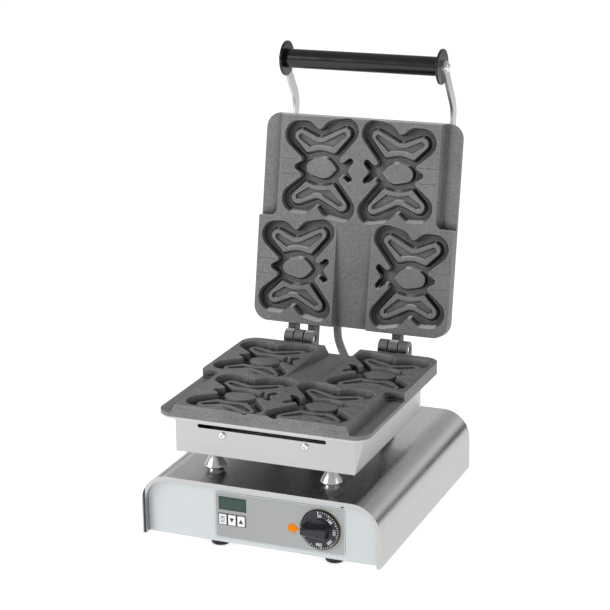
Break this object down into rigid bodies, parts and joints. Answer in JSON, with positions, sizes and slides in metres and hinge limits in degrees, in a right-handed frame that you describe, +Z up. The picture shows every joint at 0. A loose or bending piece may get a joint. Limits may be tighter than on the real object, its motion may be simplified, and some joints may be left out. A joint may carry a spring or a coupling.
{
  "type": "waffle maker",
  "caption": "Countertop electric waffle baker with butterfly moulds, a hinged lid with a bar handle standing open, a brushed steel base and a control panel with display, keys and a dial.",
  "frame": {"origin": "on the table, under the centre of the open machine's bounding box", "axes": "+X to the machine's right as its user sees it, +Y to its back, +Z up; the control panel faces -Y"},
  "size_m": [0.31, 0.4229, 0.5777],
  "materials": {
    "stainless_sheet": "brushed, satin",
    "inner_sheet": "plain mill finish",
    "panel_coat": "satin coat",
    "fascia_film": "fine matt film",
    "display_lens": "polished",
    "key_caps": "satin gloss",
    "arrow_mark": "printed",
    "dial_moulding": "satin gloss",
    "cast_plates": "non-stick coat over a cast surface",
    "plated_steel": "bright plated",
    "grip_moulding": "gloss",
    "foot_rubber": "matt",
    "conduit_sleeve": "braided glass-fibre sleeve",
    "dark_moulding": "fine matt",
    "pale_moulding": "fine matt",
    "element_sheath": "heat-tinted",
    "fibre_board": "ceramic fibre board",
    "copper_tube": "drawn copper"
  },
  "bodies": {
    "base": {"base_cover": "stainless_sheet", "lower_housing": "stainless_sheet", "rear_panel": "inner_sheet", "bottom_plate": "inner_sheet", "lower_carrier": "inner_sheet", "lower_element_clamps": "inner_sheet", "front_panel": "panel_coat", "control_fascia": "fascia_film", "display_window": "display_lens", "pointer_arrow": "arrow_mark", "lower_baking_plate": "cast_plates", "foot_screws": "plated_steel", "standoff_front_left": "plated_steel", "standoff_rear_left": "plated_steel", "standoff_front_right": "plated_steel", "standoff_rear_right": "plated_steel", "standoff_studs": "plated_steel", "lower_housing_screws": "plated_steel", "hinge_pin_left": "plated_steel", "hinge_pin_right": "plated_steel", "thermostat_body": "plated_steel", "foot_front_left": "foot_rubber", "foot_rear_left": "foot_rubber", "foot_front_right": "foot_rubber", "foot_rear_right": "foot_rubber", "lid_conduit": "conduit_sleeve", "timer_module": "dark_moulding", "contactor": "dark_moulding", "cable_gland": "dark_moulding", "gland_nut": "dark_moulding", "wiring_sleeve": "dark_moulding", "lower_conduit_gland": "dark_moulding", "terminal_block": "pale_moulding", "lower_heating_element": "element_sheath", "lower_insulation": "fibre_board", "thermostat_bulb": "copper_tube", "thermostat_capillary": "copper_tube"},
    "lid": {"upper_housing": "stainless_sheet", "upper_carrier": "inner_sheet", "upper_baking_plate": "cast_plates", "upper_housing_screws": "plated_steel", "upper_heating_element": "element_sheath", "upper_element_clamps": "inner_sheet", "upper_insulation": "fibre_board", "lid_conduit_gland": "dark_moulding", "handle_arm_left": "stainless_sheet", "handle_arm_right": "stainless_sheet", "handle_grip": "grip_moulding", "grip_disc_left": "plated_steel", "grip_disc_right": "plated_steel", "handle_tie_rod": "plated_steel", "grip_bolts": "plated_steel", "arm_screws": "plated_steel"},
    "dial": {"thermostat_knob": "dial_moulding", "thermostat_spindle": "plated_steel"},
    "start_stop_key": {"key_start_stop": "key_caps"},
    "down_key": {"key_down": "key_caps"},
    "up_key": {"key_up": "key_caps"}
  },
  "joints": [
    {"name": "lid_hinge", "type": "hinge", "parent": "base", "child": "lid", "pos_m": [0, 0.09645, 0.19475], "axis": [1, 0, 0], "range_deg": [0, 100.5], "deforming": ["lid_conduit"]},
    {"name": "dial_turn", "type": "hinge", "parent": "base", "child": "dial", "pos_m": [0.077, -0.19445, 0.0602], "axis": [0, -1, 0], "range_deg": [0, 270]},
    {"name": "start_stop_press", "type": "slide", "parent": "base", "child": "start_stop_key", "axis": [0, 1, 0], "range_m": [0, 0.001], "stiffness_N_per_m": 800},
    {"name": "down_press", "type": "slide", "parent": "base", "child": "down_key", "axis": [0, 1, 0], "range_m": [0, 0.001], "stiffness_N_per_m": 800},
    {"name": "up_press", "type": "slide", "parent": "base", "child": "up_key", "axis": [0, 1, 0], "range_m": [0, 0.001], "stiffness_N_per_m": 800}
  ]
}
